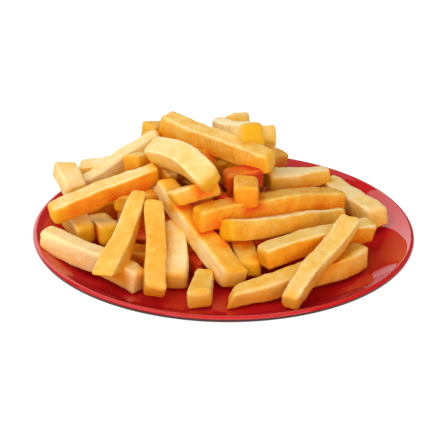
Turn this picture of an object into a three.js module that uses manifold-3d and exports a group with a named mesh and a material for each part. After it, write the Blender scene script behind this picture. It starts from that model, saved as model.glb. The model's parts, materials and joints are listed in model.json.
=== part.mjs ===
// A portion of french fries heaped on a round plate.
// Millimetres, +Z up. The origin is on the table, under the middle of the plate's foot ring.
// The fries that can be told apart from the front are placed one by one; the inside and the
// back of the heap follow a rule. All of them are then pushed apart until they only touch.

import * as THREE from 'three';
import { mergeVertices } from 'three/addons/utils/BufferGeometryUtils.js';
import Module from 'manifold-3d';

// ---- driving dimensions -------------------------------------------------------------------

// plate
const PLATE_R = 100; // outer edge of the lip
const LIP_ROUND = 1.5; // radius of the rounded lip
const LIP_TOP = 19; // height of the lip above the table
const LIP_BLEND = { inward: 1.1, down: 0.4 }; // where the rim's curve runs into the lip's round
const LIP_ARC = [-60, 120]; // the round of the lip, in degrees from straight outwards
const WELL_R = 66; // the flat middle ends here
const WELL_Z = 5; // height of the flat middle
const RIM_CURVE = 1.7; // 1 would be a straight rim, more is a rounder one
const PLATE_WALL = 3;
const FOOT_R = 57; // outer edge of the foot ring
const FOOT_W = 3.5; // width of its flat face
const PLATE_SIDES = 80;
const STEPS = { rim: 8, under: 4, lip: 6 }; // along the rim's two faces and round the lip

// fries
const FRY = 11; // thickness of one fry
const FRY_CHAMFER = 0.32; // share of the half thickness that the rounded edges take
const FRY_SIDES = 8;
const FRY_STEPS = 4;
const TOUCH = 0.93; // two fries touch when their middles are this many thicknesses apart
const GAP = 0.36; // left between the fries and the plate

// heap
const HEAP = { x: -2, y: 4, depth: 0.88 }; // middle of the heap, and its depth against its width
const CORE = { across: 44, top: 28, foot: 6, sides: 24, steps: 6 }; // the solid mound inside it
const SETTLE_ROUNDS = 60;
const SETTLE_POINTS = 9;
const PUSH = 0.6; // share of an overlap that one round takes away
const PLACED_WEIGHT = 6; // a placed fry gives way this many times less than the others
const HOMING = 0.15; // how strongly a placed fry goes back to its own place
const REACH = 95; // no end of a fry lies further out than this

// ---- small helpers ------------------------------------------------------------------------

const FLAT = 1e-4; // lengths below this count as nothing
const UP = new THREE.Vector3(0, 0, 1);
const vec = (p) => new THREE.Vector3(...p);
const radians = THREE.MathUtils.degToRad;

// seeded numbers, the same on every run
function randomFrom(seed) {
  let state = seed;
  return (low, high) => {
    state = (state * 1664525 + 1013904223) % 4294967296;
    return low + ((high - low) * state) / 4294967296;
  };
}

// ---- plate --------------------------------------------------------------------------------

const LIP_MIDDLE_R = PLATE_R - LIP_ROUND;
const LIP_MIDDLE_Z = LIP_TOP - LIP_ROUND;
const RIM_END_R = LIP_MIDDLE_R - LIP_BLEND.inward;
const RIM_END_Z = LIP_TOP - LIP_BLEND.down;

// height of the plate's upper face at a distance from its middle
function plateTop(r) {
  const t = THREE.MathUtils.clamp((r - WELL_R) / (RIM_END_R - WELL_R), 0, 1);
  return WELL_Z + (RIM_END_Z - WELL_Z) * t ** RIM_CURVE;
}

// points of the rim from the flat middle outwards, at a height above or below its upper face
function rimPoints(steps, above) {
  const points = [];
  for (let i = 0; i <= steps; i++) {
    const r = THREE.MathUtils.lerp(WELL_R, RIM_END_R, i / steps);
    points.push(new THREE.Vector2(r, plateTop(r) + above));
  }
  return points;
}

// the rounded edge, from under the rim over to its upper face
function lipPoints() {
  const points = [];
  for (let i = 0; i <= STEPS.lip; i++) {
    const a = radians(THREE.MathUtils.lerp(...LIP_ARC, i / STEPS.lip));
    const r = LIP_MIDDLE_R + LIP_ROUND * Math.cos(a);
    points.push(new THREE.Vector2(r, LIP_MIDDLE_Z + LIP_ROUND * Math.sin(a)));
  }
  return points;
}

function plateProfile() {
  const under = WELL_Z - PLATE_WALL;
  const bottom = [
    new THREE.Vector2(0, under),
    new THREE.Vector2(FOOT_R - FOOT_W - under, under),
    new THREE.Vector2(FOOT_R - FOOT_W, 0),
    new THREE.Vector2(FOOT_R, 0),
    new THREE.Vector2(FOOT_R + under, under),
  ];
  const top = rimPoints(STEPS.rim, 0).slice(0, -1).reverse();
  const middle = new THREE.Vector2(0, WELL_Z);
  return [...bottom, ...rimPoints(STEPS.under, -PLATE_WALL), ...lipPoints(), ...top, middle];
}

// a profile of radius and height turned round the vertical axis
function turned(profile, sides) {
  const geometry = new THREE.LatheGeometry(profile, sides);
  geometry.rotateX(Math.PI / 2);
  return geometry;
}

// everything the heap keeps clear of: the plate, grown by the gap
function plateRoom() {
  const outside = PLATE_R + PLATE_WALL;
  const points = [
    new THREE.Vector2(0, -PLATE_WALL),
    new THREE.Vector2(outside, -PLATE_WALL),
    new THREE.Vector2(outside, LIP_TOP + GAP),
    ...rimPoints(STEPS.rim, GAP).reverse(),
    new THREE.Vector2(0, WELL_Z + GAP),
  ];
  return turned(points, PLATE_SIDES);
}

// ---- where the fries lie ------------------------------------------------------------------

// A fry runs from one end's middle to the other's. Its own middle is bent up by rise and
// to the left by sway, it is rolled about its length, and it can be thicker at one end. An end
// is cut at a slant, seen from above by cut and seen from the side by pitch, in degrees.
const PLACED = [
  // leaning down to the front edge of the plate
  { from: [-92, -27, 22.5], to: [-41, -52, 11], sway: 2, roll: 4 },
  { from: [-56, -56, 15], to: [-43, -15, 42], thick: [13, 8], pitch: [-30, 0] },
  { from: [-33, -63, 11], to: [-35, -20, 40.5], rise: -1, thick: [10, 9.5] },
  { from: [-23, -51, 11], to: [-24, -16, 26], thick: [12.5, 10.5] },
  { from: [-11, -69, 10.5], to: [-9, -42, 11], thick: [11, 8], cut: [20, 0] },
  { from: [-33, -5, 45], to: [6, -50, 12], rise: -1, thick: [10, 12.5], cut: [0, -20] },
  { from: [14, -42, 13], to: [9, -20, 18] },
  { from: [31, -73, 13], to: [65, -19, 30], thick: [9, 10] },
  { from: [4, -64, 9.5], to: [71, -23, 15], sway: -4, thick: [9.5, 12.5], cut: [-30, 0], pitch: [30, 0] },
  { from: [-60, -24, 13], to: [-31, -30, 13] },
  // across the right side
  { from: [-14, -28, 31], to: [64, 22, 24], rise: 2, roll: 3, thick: [11.5, 11.5] },
  { from: [0.5, -32, 30], to: [64, 9, 20], rise: -1, roll: 22, thick: [11.5, 10] },
  { from: [20, -43, 20.5], to: [77, -6, 19], rise: 2 },
  { from: [57, 51, 22.5], to: [82, 8, 19.5], thick: [11, 12] },
  { from: [24, 33, 28.5], to: [58, 48, 25.5], thick: [12.5, 8.5] },
  { from: [66, 27, 13], to: [38, 43, 13] },
  { from: [20, 13, 24], to: [50, 33, 20] },
  // on top
  { from: [-37, 14, 53], to: [-6, -19, 51], rise: 4, roll: -30, thick: [13, 13] },
  { from: [-33, 45, 58], to: [25, 8, 49], rise: -1.5, roll: -8, thick: [11.5, 10.5] },
  { from: [-25.5, -21.5, 41.5], to: [-5, -6, 41], roll: 25, thick: [8.5, 10], pitch: [-35, 0] },
  { from: [10.4, -18, 41], to: [11.4, -3, 43], thick: [12.5, 12] },
  { from: [1, 4, 40], to: [19, 11, 44.5] },
  { from: [-36, 19, 45], to: [-27, 7, 40], thick: [8.5, 8.5] },
  { from: [-5, 60, 54], to: [15, 22, 60], rise: -2.5, thick: [6.5, 14] },
  { from: [9, 56, 56], to: [2, 78, 44] },
  { from: [22, 38, 56], to: [23, 56, 32] },
  { from: [33.5, 79, 24], to: [14, 56, 28] },
  // over the left side
  { from: [-88, -15, 29], to: [-35, 6, 44.5], rise: 1, roll: -6, thick: [9.5, 9.5] },
  { from: [-77, 26, 26], to: [-35, 38, 51.5] },
  { from: [-44, 53, 49], to: [-18, 74, 42] },
  { from: [-79, 37, 31], to: [-42, 42, 36] },
  { from: [-87, 28, 37.5], to: [-79, 10, 29.5], cut: [-15, 0] },
  { from: [-70.5, -17, 18], to: [-84, 10, 22] },
  { from: [-58.5, -20, 19], to: [-69, 12, 14] },
  { from: [-58, -3, 33], to: [-25, -1, 34], thick: [8.5, 10] },
  { from: [-56, -3, 23], to: [-25, 5, 24] },
  { from: [-74, 12, 14], to: [-40, 46, 16] },
];

// The fries inside the heap and on its far side, in courses laid from the plate upwards over
// an arc of directions. Some lie across the slope, each given by its middle and half its
// length. The others lean on the heap, from a foot to a head: distance and height of each.
const COURSES = [
  { count: 7, arc: [-160, 200], middle: [32, 11.5], half: 27 },
  { count: 4, arc: [20, 380], middle: [20, 23], half: 24 },
  { count: 6, arc: [68, 150], foot: [74, 13], head: [34, 32] },
  { count: 4, arc: [66, 145], middle: [52, 34], half: 26 },
  { count: 4, arc: [55, 135], foot: [50, 34], head: [20, 44] },
];
const COURSE_SEED = 5;
const UNEVEN = { bend: 3, roll: 25, thick: [10, 11.6], cut: 18 };
const ACROSS_UNEVEN = { degrees: 6, distance: 4, height: 2, turn: 28, half: 5, tip: 5 };
const LEANING_UNEVEN = { degrees: 7, foot: [5, 3], turn: 22, head: [6, 3] };

// a point of the heap by its direction, its distance from the middle and its height
function heapPoint(degrees, distance, height) {
  const a = radians(degrees);
  const y = HEAP.y + HEAP.depth * distance * Math.sin(a);
  return new THREE.Vector3(HEAP.x + distance * Math.cos(a), y, height);
}

// the two ends of a fry that lies across the slope
function acrossEnds(course, direction, about) {
  const degrees = direction + about(ACROSS_UNEVEN.degrees);
  const distance = course.middle[0] + about(ACROSS_UNEVEN.distance);
  const middle = heapPoint(degrees, distance, course.middle[1] + about(ACROSS_UNEVEN.height));
  const turn = radians(degrees + 90 + about(ACROSS_UNEVEN.turn));
  const half = course.half + about(ACROSS_UNEVEN.half);
  const along = new THREE.Vector3(Math.cos(turn) * half, Math.sin(turn) * half, 0);
  along.z = about(ACROSS_UNEVEN.tip);
  return [middle.clone().sub(along), middle.clone().add(along)];
}

// the two ends of a fry that leans on the heap, the low one first
function leaningEnds(course, direction, about) {
  const degrees = direction + about(LEANING_UNEVEN.degrees);
  const foot = course.foot.map((size, i) => size + about(LEANING_UNEVEN.foot[i]));
  const turn = degrees + about(LEANING_UNEVEN.turn);
  const head = course.head.map((size, i) => size + about(LEANING_UNEVEN.head[i]));
  return [heapPoint(degrees, ...foot), heapPoint(turn, ...head)];
}

function courseFries() {
  const random = randomFrom(COURSE_SEED);
  const about = (most) => random(-most, most);
  const fries = [];
  for (const course of COURSES) {
    const [first, last] = course.arc;
    for (let i = 0; i < course.count; i++) {
      const direction = first + ((last - first) * (i + 0.5)) / course.count;
      const ends = course.middle ? acrossEnds : leaningEnds;
      const [from, to] = ends(course, direction, about);
      const [rise, sway, roll] = [UNEVEN.bend, UNEVEN.bend, UNEVEN.roll].map(about);
      const thick = [random(...UNEVEN.thick), random(...UNEVEN.thick)];
      fries.push({ from, to, rise, sway, roll, thick, cut: [UNEVEN.cut, UNEVEN.cut].map(about) });
    }
  }
  return fries;
}

// ---- one fry ------------------------------------------------------------------------------

// the fry's own directions: along it, to its left and upwards
function directions(fry) {
  const along = fry.to.clone().sub(fry.from).normalize();
  const left = UP.clone().cross(along).normalize();
  return { along, left, up: along.clone().cross(left) };
}

// points along the middle of a fry
function middleLine(fry, count) {
  const { left, up } = directions(fry);
  const bend = up.multiplyScalar(fry.rise).add(left.multiplyScalar(fry.sway));
  const points = [];
  for (let i = 0; i < count; i++) {
    const t = i / (count - 1);
    const point = fry.from.clone().lerp(fry.to, t);
    points.push(point.addScaledVector(bend, 4 * t * (1 - t)));
  }
  return points;
}

// a prism with chamfered edges, laid along the fry's middle line
function fryGeometry(fry) {
  const prism = new THREE.CylinderGeometry(1, 1, 1, FRY_SIDES, FRY_STEPS);
  prism.rotateY(Math.PI / FRY_SIDES);
  const line = middleLine(fry, FRY_STEPS + 1);
  const { left, up } = directions(fry);
  const roll = radians(fry.roll);
  const crown = up.multiplyScalar(Math.cos(roll)).addScaledVector(left, Math.sin(roll));
  const place = prism.attributes.position;
  for (let i = 0; i < place.count; i++) {
    const t = place.getY(i) + 0.5;
    const step = Math.round(t * FRY_STEPS);
    const ahead = line[Math.min(step + 1, FRY_STEPS)];
    const along = ahead.clone().sub(line[Math.max(step - 1, 0)]).normalize();
    const high = crown.clone().addScaledVector(along, -crown.dot(along)).normalize();
    const side = along.clone().cross(high);
    const half = THREE.MathUtils.lerp(fry.thick[0], fry.thick[1], t) / 2;
    const across = corner(place.getX(i)) * half;
    const upward = corner(place.getZ(i)) * half;
    const point = line[step].clone().addScaledVector(side, across).addScaledVector(high, upward);
    point.addScaledVector(along, slantOfEnd(fry, step, across, upward));
    place.setXYZ(i, point.x, point.y, point.z);
  }
  return prism;
}

// how far the slanted cut of an end moves a point along the fry, by its place on that end
function slantOfEnd(fry, step, across, upward) {
  const end = [0, FRY_STEPS].indexOf(step);
  if (end < 0) return 0;
  return across * Math.tan(radians(fry.cut[end])) + upward * Math.tan(radians(fry.pitch[end]));
}

// moves a corner of a regular octagon, as sine or cosine, to one of a square with small chamfers
function corner(value) {
  const onFace = Math.abs(value) > Math.SQRT1_2;
  const onEnd = Math.abs(value) < FLAT; // the middle of the end face
  return onEnd ? 0 : Math.sign(value) * (onFace ? 1 : 1 - FRY_CHAMFER);
}

// ---- settling -----------------------------------------------------------------------------

// the closest pair of points of two lines
function closest(a, b) {
  const best = { square: Infinity, i: 0, j: 0 };
  a.forEach((p, i) => {
    b.forEach((q, j) => {
      const square = p.distanceToSquared(q);
      if (square < best.square) Object.assign(best, { square, i, j });
    });
  });
  return best;
}

// moves a fry at one point of its line, which turns it about its far end
function shove(fry, move, point) {
  const t = point / (SETTLE_POINTS - 1);
  fry.shift[0].addScaledVector(move, 1 - t);
  fry.shift[1].addScaledVector(move, t);
}

// pushes apart every two fries that cross
function pushApart(fries) {
  const lines = fries.map((fry) => middleLine(fry, SETTLE_POINTS));
  for (const fry of fries) fry.shift = [new THREE.Vector3(), new THREE.Vector3()];
  fries.forEach((fry, i) => {
    for (let j = i + 1; j < fries.length; j++) {
      const other = fries[j];
      const near = closest(lines[i], lines[j]);
      const apart = Math.sqrt(near.square);
      const wanted = (TOUCH * (fry.size + other.size)) / 2;
      if (apart >= wanted) continue;
      const push = lines[i][near.i].clone().sub(lines[j][near.j]);
      push.setLength(PUSH * (wanted - apart));
      const share = other.weight / (fry.weight + other.weight);
      shove(fry, push.clone().multiplyScalar(share), near.i);
      shove(other, push.clone().multiplyScalar(share - 1), near.j);
    }
  });
  for (const fry of fries) {
    fry.from.add(fry.shift[0]);
    fry.to.add(fry.shift[1]);
  }
}

// lifts a fry out of the plate and keeps its ends above it
function keepOnPlate(fry) {
  const line = middleLine(fry, SETTLE_POINTS);
  const room = line.map((p) => p.z - plateTop(Math.hypot(p.x, p.y)) - fry.size / 2);
  const low = room.indexOf(Math.min(...room));
  if (room[low] < 0) {
    const t = low / (SETTLE_POINTS - 1);
    fry.from.z -= room[low] * (1 - t);
    fry.to.z -= room[low] * t;
  }
  for (const end of [fry.from, fry.to]) {
    const pull = Math.min(1, REACH / Math.hypot(end.x, end.y));
    end.x *= pull;
    end.y *= pull;
  }
}

function keepLength(fry) {
  const middle = fry.from.clone().add(fry.to).multiplyScalar(0.5);
  const half = fry.to.clone().sub(fry.from).setLength(fry.length / 2);
  fry.from.copy(middle).sub(half);
  fry.to.copy(middle).add(half);
}

function goHome(fry) {
  fry.from.lerp(fry.home[0], HOMING);
  fry.to.lerp(fry.home[1], HOMING);
}

function settle(fries) {
  for (let round = 0; round < SETTLE_ROUNDS; round++) {
    pushApart(fries);
    fries.forEach(keepOnPlate);
    fries.forEach(keepLength);
    fries.filter((fry) => fry.placed).forEach(goHome);
  }
}

// all fries with every value filled in, settled on the plate
function allFries() {
  const plain = { rise: 0, sway: 0, roll: 0, thick: [FRY, FRY], cut: [0, 0], pitch: [0, 0] };
  const placed = PLACED.map((row) => ({
    ...plain, ...row, from: vec(row.from), to: vec(row.to), placed: true, weight: PLACED_WEIGHT,
  }));
  const laid = courseFries().map((row) => ({ ...plain, ...row, placed: false, weight: 1 }));
  const fries = [...placed, ...laid];
  for (const fry of fries) {
    fry.size = (fry.thick[0] + fry.thick[1]) / 2;
    fry.length = fry.from.distanceTo(fry.to);
    fry.home = [fry.from.clone(), fry.to.clone()];
  }
  settle(fries);
  return fries;
}

// ---- the heap -----------------------------------------------------------------------------

const wasm = await Module();
wasm.setup();

function toSolid(geometry) {
  const bare = geometry.clone();
  bare.deleteAttribute('normal');
  bare.deleteAttribute('uv');
  const merged = mergeVertices(bare, FLAT);
  const mesh = new wasm.Mesh({
    numProp: 3,
    vertProperties: new Float32Array(merged.attributes.position.array),
    triVerts: new Uint32Array(merged.index.array),
  });
  return new wasm.Manifold(mesh);
}

function toGeometry(solid) {
  const mesh = solid.getMesh();
  const geometry = new THREE.BufferGeometry();
  geometry.setAttribute('position', new THREE.BufferAttribute(mesh.vertProperties, 3));
  geometry.setIndex(new THREE.BufferAttribute(mesh.triVerts, 1));
  geometry.computeVertexNormals();
  return geometry;
}

// the mound that carries the fries, standing on the flat of the plate
function coreGeometry() {
  const points = [new THREE.Vector2(0, WELL_Z)];
  for (let i = 0; i < CORE.steps; i++) {
    const a = ((Math.PI / 2) * i) / CORE.steps;
    const z = CORE.foot + (CORE.top - CORE.foot) * Math.sin(a);
    points.push(new THREE.Vector2(CORE.across * Math.cos(a), z));
  }
  points.push(new THREE.Vector2(0, CORE.top));
  const geometry = turned(points, CORE.sides);
  geometry.scale(1, HEAP.depth, 1);
  geometry.translate(HEAP.x, HEAP.y, 0);
  return geometry;
}

function heapGeometry() {
  let heap = toSolid(coreGeometry());
  for (const fry of allFries()) heap = heap.add(toSolid(fryGeometry(fry)));
  heap = heap.subtract(toSolid(plateRoom()));
  // the largest shell is the heap itself: this drops loose scraps and fills sealed hollows
  const shells = heap.decompose().sort((a, b) => b.volume() - a.volume());
  return toGeometry(shells[0]);
}

// ---- the part -----------------------------------------------------------------------------

function node(name, geometry, colour, roughness) {
  const material = new THREE.MeshStandardMaterial({ color: colour, roughness, metalness: 0 });
  const mesh = new THREE.Mesh(geometry, material);
  mesh.name = name;
  return mesh;
}

const part = new THREE.Group();
part.add(node('plate', turned(plateProfile(), PLATE_SIDES), '#b8151c', 0.15));
part.add(node('fries', heapGeometry(), '#eab355', 0.6));

export default part;
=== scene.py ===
# %% [markdown]
# # French fries on a red plate
# A heap of thick-cut fries lies on a shallow plate with a glossy red glaze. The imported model
# gives both at their real size, with plain, faceted faces. Here the fries become soft-edged,
# uneven pieces of fried potato, and the plate gets the smooth round form and the shine that
# a glazed plate has.

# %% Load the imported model
import json
import math

import bpy
import numpy as np
from mathutils import Matrix, Vector

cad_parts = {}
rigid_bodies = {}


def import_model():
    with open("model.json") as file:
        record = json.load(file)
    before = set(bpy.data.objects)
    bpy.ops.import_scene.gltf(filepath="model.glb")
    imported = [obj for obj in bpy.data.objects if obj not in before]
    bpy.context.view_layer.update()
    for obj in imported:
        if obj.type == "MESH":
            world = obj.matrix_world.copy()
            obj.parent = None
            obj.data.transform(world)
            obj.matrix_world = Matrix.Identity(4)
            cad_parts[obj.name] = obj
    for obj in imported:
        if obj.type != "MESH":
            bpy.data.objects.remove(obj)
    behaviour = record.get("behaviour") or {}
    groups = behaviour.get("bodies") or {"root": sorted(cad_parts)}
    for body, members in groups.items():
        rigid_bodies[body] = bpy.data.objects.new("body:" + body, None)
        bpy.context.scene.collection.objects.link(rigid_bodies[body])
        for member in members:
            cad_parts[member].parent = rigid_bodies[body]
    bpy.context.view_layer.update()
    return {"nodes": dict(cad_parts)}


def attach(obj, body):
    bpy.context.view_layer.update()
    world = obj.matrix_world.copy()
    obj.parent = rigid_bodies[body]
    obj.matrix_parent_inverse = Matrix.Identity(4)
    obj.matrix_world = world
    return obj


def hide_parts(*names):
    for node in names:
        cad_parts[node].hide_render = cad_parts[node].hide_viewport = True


for old in list(bpy.data.objects):
    bpy.data.objects.remove(old)
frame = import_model()
print("parts of the packed model:", sorted(frame["nodes"]))

# %% [markdown]
# ## Small helpers
# Everything is drawn in metres, but sizes are easier to read in millimetres, so MM turns one
# into the other. Colours are written as the hex values of a paint program. Blender calculates
# with linear values, so one function turns them round. One more function adds a node to a
# tree: values go to its inputs in order, or by the socket's own name, and a socket as a value
# makes a link.

# %% Helpers
MM = 0.001


def colour(hex_code):
    """The linear colour, with alpha, of a hex code such as F0B040."""
    channels = [int(hex_code[i : i + 2], 16) / 255 for i in (0, 2, 4)]
    return (*[c / 12.92 if c <= 0.04045 else ((c + 0.055) / 1.055) ** 2.4 for c in channels], 1)


def add(tree, kind, *values, named=None, out=0, **settings):
    """Adds a node and returns one of its outputs."""
    node = tree.nodes.new(kind)
    for name, value in settings.items():
        setattr(node, name, value)
    sockets = {socket.identifier: socket for socket in node.inputs}
    by_name = [(sockets[name], value) for name, value in (named or {}).items()]
    for socket, value in [*zip(node.inputs, values), *by_name]:
        if isinstance(value, bpy.types.NodeSocket):
            tree.links.new(value, socket)
        elif value is not None:
            socket.default_value = value
    return node.outputs[out] if len(node.outputs) else None


def link_object(name, mesh):
    piece = bpy.data.objects.new(name, mesh)
    bpy.context.scene.collection.objects.link(piece)
    return piece


def made_plain(piece):
    """Turns a piece and its modifiers into a plain mesh, and removes the modifiers."""
    bpy.context.view_layer.update()
    graph = bpy.context.evaluated_depsgraph_get()
    mesh = bpy.data.meshes.new_from_object(
        piece.evaluated_get(graph), preserve_all_data_layers=True, depsgraph=graph
    )
    piece.modifiers.clear()
    piece.data = mesh
    mesh.name = piece.name
    return piece


print("1 mm is", MM, "of Blender's units; white is", colour("FFFFFF"))

# %% [markdown]
# ## Camera
# The dish is seen from the front and above, from about as near as one eats, so the plate's far
# side looks a quarter smaller than its near side. A camera looks along its own -Z, so its
# three axes are built from the angle of view and put in a matrix.

# %% Camera
VIEW_ELEVATION = math.radians(25.5)
VIEW_ROLL = math.radians(0.89)
VIEW_DISTANCE = 650 * MM
VIEW_TARGET = Vector((-0.11, 0, 18.84)) * MM
LENS = 99.0
SENSOR_WIDTH = 36

back = Vector((0, -math.cos(VIEW_ELEVATION), math.sin(VIEW_ELEVATION)))
level = Vector((1, 0, 0))
upright = back.cross(level)
right = level * math.cos(VIEW_ROLL) + upright * math.sin(VIEW_ROLL)
axes = Matrix((right, back.cross(right), back)).transposed()

camera_data = bpy.data.cameras.new("camera")
camera_data.lens = LENS
camera_data.sensor_width = SENSOR_WIDTH
camera = link_object("camera", camera_data)
camera.matrix_world = Matrix.Translation(VIEW_TARGET + back * VIEW_DISTANCE) @ axes.to_4x4()
bpy.context.scene.camera = camera
bpy.context.scene.view_settings.view_transform = "Standard"
print("camera at", [round(x, 3) for x in camera.location])

# %% [markdown]
# ## Light and floor
# Food is shot in the soft light of large softboxes. The strongest one here is wide and stands
# low in front, a little warm, as light from a gold reflector is. It lights the fries' near sides
# and opens the shadows without greying them. One on the left and one overhead make the left
# sides and the upper faces lighter than the rest. A large one behind the dish on the left draws
# the pale patch on the plate's right rim. The floor glows white, as a light table does, so it
# shows no shadow.

# %% Softboxes
LIGHTS = {
    # name: (place in metres, what it points at, width, height, watts, colour)
    "left": ((-0.55, -0.26, 0.66), (0, 0, 0.03), 0.8, 0.8, 3.5, "FFFFFF"),
    "over": ((0, 0.10, 0.95), (0, 0, 0.03), 1.0, 1.0, 2.6, "FFFFFF"),
    "behind_left": ((-0.45, 0.85, 0.40), (0.05, 0, 0.02), 1.2, 0.8, 6.0, "FFFFFF"),
    "front": ((0.15, -0.95, 0.40), (0, 0, 0.03), 1.6, 0.6, 11.0, "FFE8D0"),
}


def softbox(name, place, target, width, height, watts, tint):
    data = bpy.data.lights.new(name, "AREA")
    data.shape = "RECTANGLE"
    data.size = width
    data.size_y = height
    data.energy = watts
    data.color = colour(tint)[:3]
    lamp = link_object(name, data)
    direction = Vector(target) - Vector(place)
    turn = direction.to_track_quat("-Z", "Y").to_matrix().to_4x4()
    lamp.matrix_world = Matrix.Translation(place) @ turn
    return lamp


for name, settings in LIGHTS.items():
    softbox(name, *settings)
print(len(LIGHTS), "softboxes of", sum(settings[4] for settings in LIGHTS.values()), "W in all")

# %% Room and floor
ROOM_LIGHT = 0.12
FLOOR_HALF = 4.0
FLOOR_GREY = "707070"
FLOOR_GLOW = 1.0

world = bpy.data.worlds.new("studio")
world.use_nodes = True
world.node_tree.nodes["Background"].inputs["Color"].default_value = colour("FFFFFF")
world.node_tree.nodes["Background"].inputs["Strength"].default_value = ROOM_LIGHT
bpy.context.scene.world = world

floor_mesh = bpy.data.meshes.new("floor")
corners = [(x * FLOOR_HALF, y * FLOOR_HALF, 0) for x, y in ((-1, -1), (1, -1), (1, 1), (-1, 1))]
floor_mesh.from_pydata(corners, [], [(0, 1, 2, 3)])
floor = link_object("floor", floor_mesh)
paper = bpy.data.materials.new("matte_white_paper")
paper.use_nodes = True
paper_shader = paper.node_tree.nodes["Principled BSDF"]
paper_shader.inputs["Base Color"].default_value = colour(FLOOR_GREY)
paper_shader.inputs["Roughness"].default_value = 0.9
paper_shader.inputs["Emission Color"].default_value = colour("FFFFFF")
paper_shader.inputs["Emission Strength"].default_value = FLOOR_GLOW
floor_mesh.materials.append(paper)
print("a floor of", 2 * FLOOR_HALF, "m")

# %% [markdown]
# ## The plate
# A plate is a round thing: one profile turned about its axis. The profile could be spun by
# hand; a Screw modifier does the same from named numbers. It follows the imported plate: a foot
# ring, a flat middle, a rim that curves up more and more, and a rounded lip. Many sides make
# its shine run round the rim without a break.

# %% Plate profile, in mm
PLATE_R = 100
LIP_ROUND = 1.5
LIP_TOP = 19
LIP_BLEND = {"inward": 1.1, "down": 0.4}
LIP_ARC = (-60, 120)
WELL_R = 66
WELL_Z = 5
RIM_CURVE = 1.7
PLATE_WALL = 3
FOOT_R = 57
FOOT_W = 3.5
PLATE_SIDES = 256
RIM_STEPS = 24
LIP_STEPS = 12

lip_middle = (PLATE_R - LIP_ROUND, LIP_TOP - LIP_ROUND)
rim_end_r = lip_middle[0] - LIP_BLEND["inward"]
rim_end_z = LIP_TOP - LIP_BLEND["down"]


def plate_top(r):
    """Height of the plate's upper face, in mm, at r mm from its middle."""
    t = np.clip((r - WELL_R) / (rim_end_r - WELL_R), 0, 1)
    return WELL_Z + (rim_end_z - WELL_Z) * t**RIM_CURVE


def plate_profile():
    under = WELL_Z - PLATE_WALL
    inner_foot = FOOT_R - FOOT_W
    points = [(0, under), (inner_foot - under, under), (inner_foot, 0), (FOOT_R, 0)]
    points.append((FOOT_R + under, under))
    rim = np.linspace(WELL_R, rim_end_r, RIM_STEPS + 1)
    points += [(r, plate_top(r) - PLATE_WALL) for r in rim]
    for degrees in np.linspace(*LIP_ARC, LIP_STEPS + 1):
        a = math.radians(degrees)
        across = lip_middle[0] + LIP_ROUND * math.cos(a)
        points.append((across, lip_middle[1] + LIP_ROUND * math.sin(a)))
    points += [(r, plate_top(r)) for r in rim[-2::-1]]
    points.append((0, WELL_Z))
    return points


profile = plate_profile()
print("the plate's profile has", len(profile), "points")

# %% Plate, turned from its profile
MERGE_BELOW = 0.01 * MM


def turned(name, points, sides):
    """A piece turned about the upright axis from points of distance and height, in mm."""
    mesh = bpy.data.meshes.new(name)
    edges = [(i, i + 1) for i in range(len(points) - 1)]
    mesh.from_pydata([(r * MM, 0, z * MM) for r, z in points], edges, [])
    piece = link_object(name, mesh)
    turning = piece.modifiers.new("turning", "SCREW")
    turning.steps = turning.render_steps = sides
    turning.use_merge_vertices = True
    turning.merge_threshold = MERGE_BELOW
    turning.use_smooth_shade = True
    turning.use_normal_flip = True
    return made_plain(piece)


plate = turned("red_plate", profile, PLATE_SIDES)
print("the plate has", len(plate.data.polygons), "faces")

# %% [markdown]
# ## Where the fries lie
# The fries that show from the front are placed one by one, each from the middle of one end to
# the middle of the other. Those inside the heap and on its far side follow a rule: courses of
# fries round the heap's middle. All of them are then pushed apart, so that few press more than
# 2 mm into each other, and lifted off the plate, as stiffness does in a real heap. This is the
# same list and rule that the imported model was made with, so every fry lies in its place.

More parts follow.
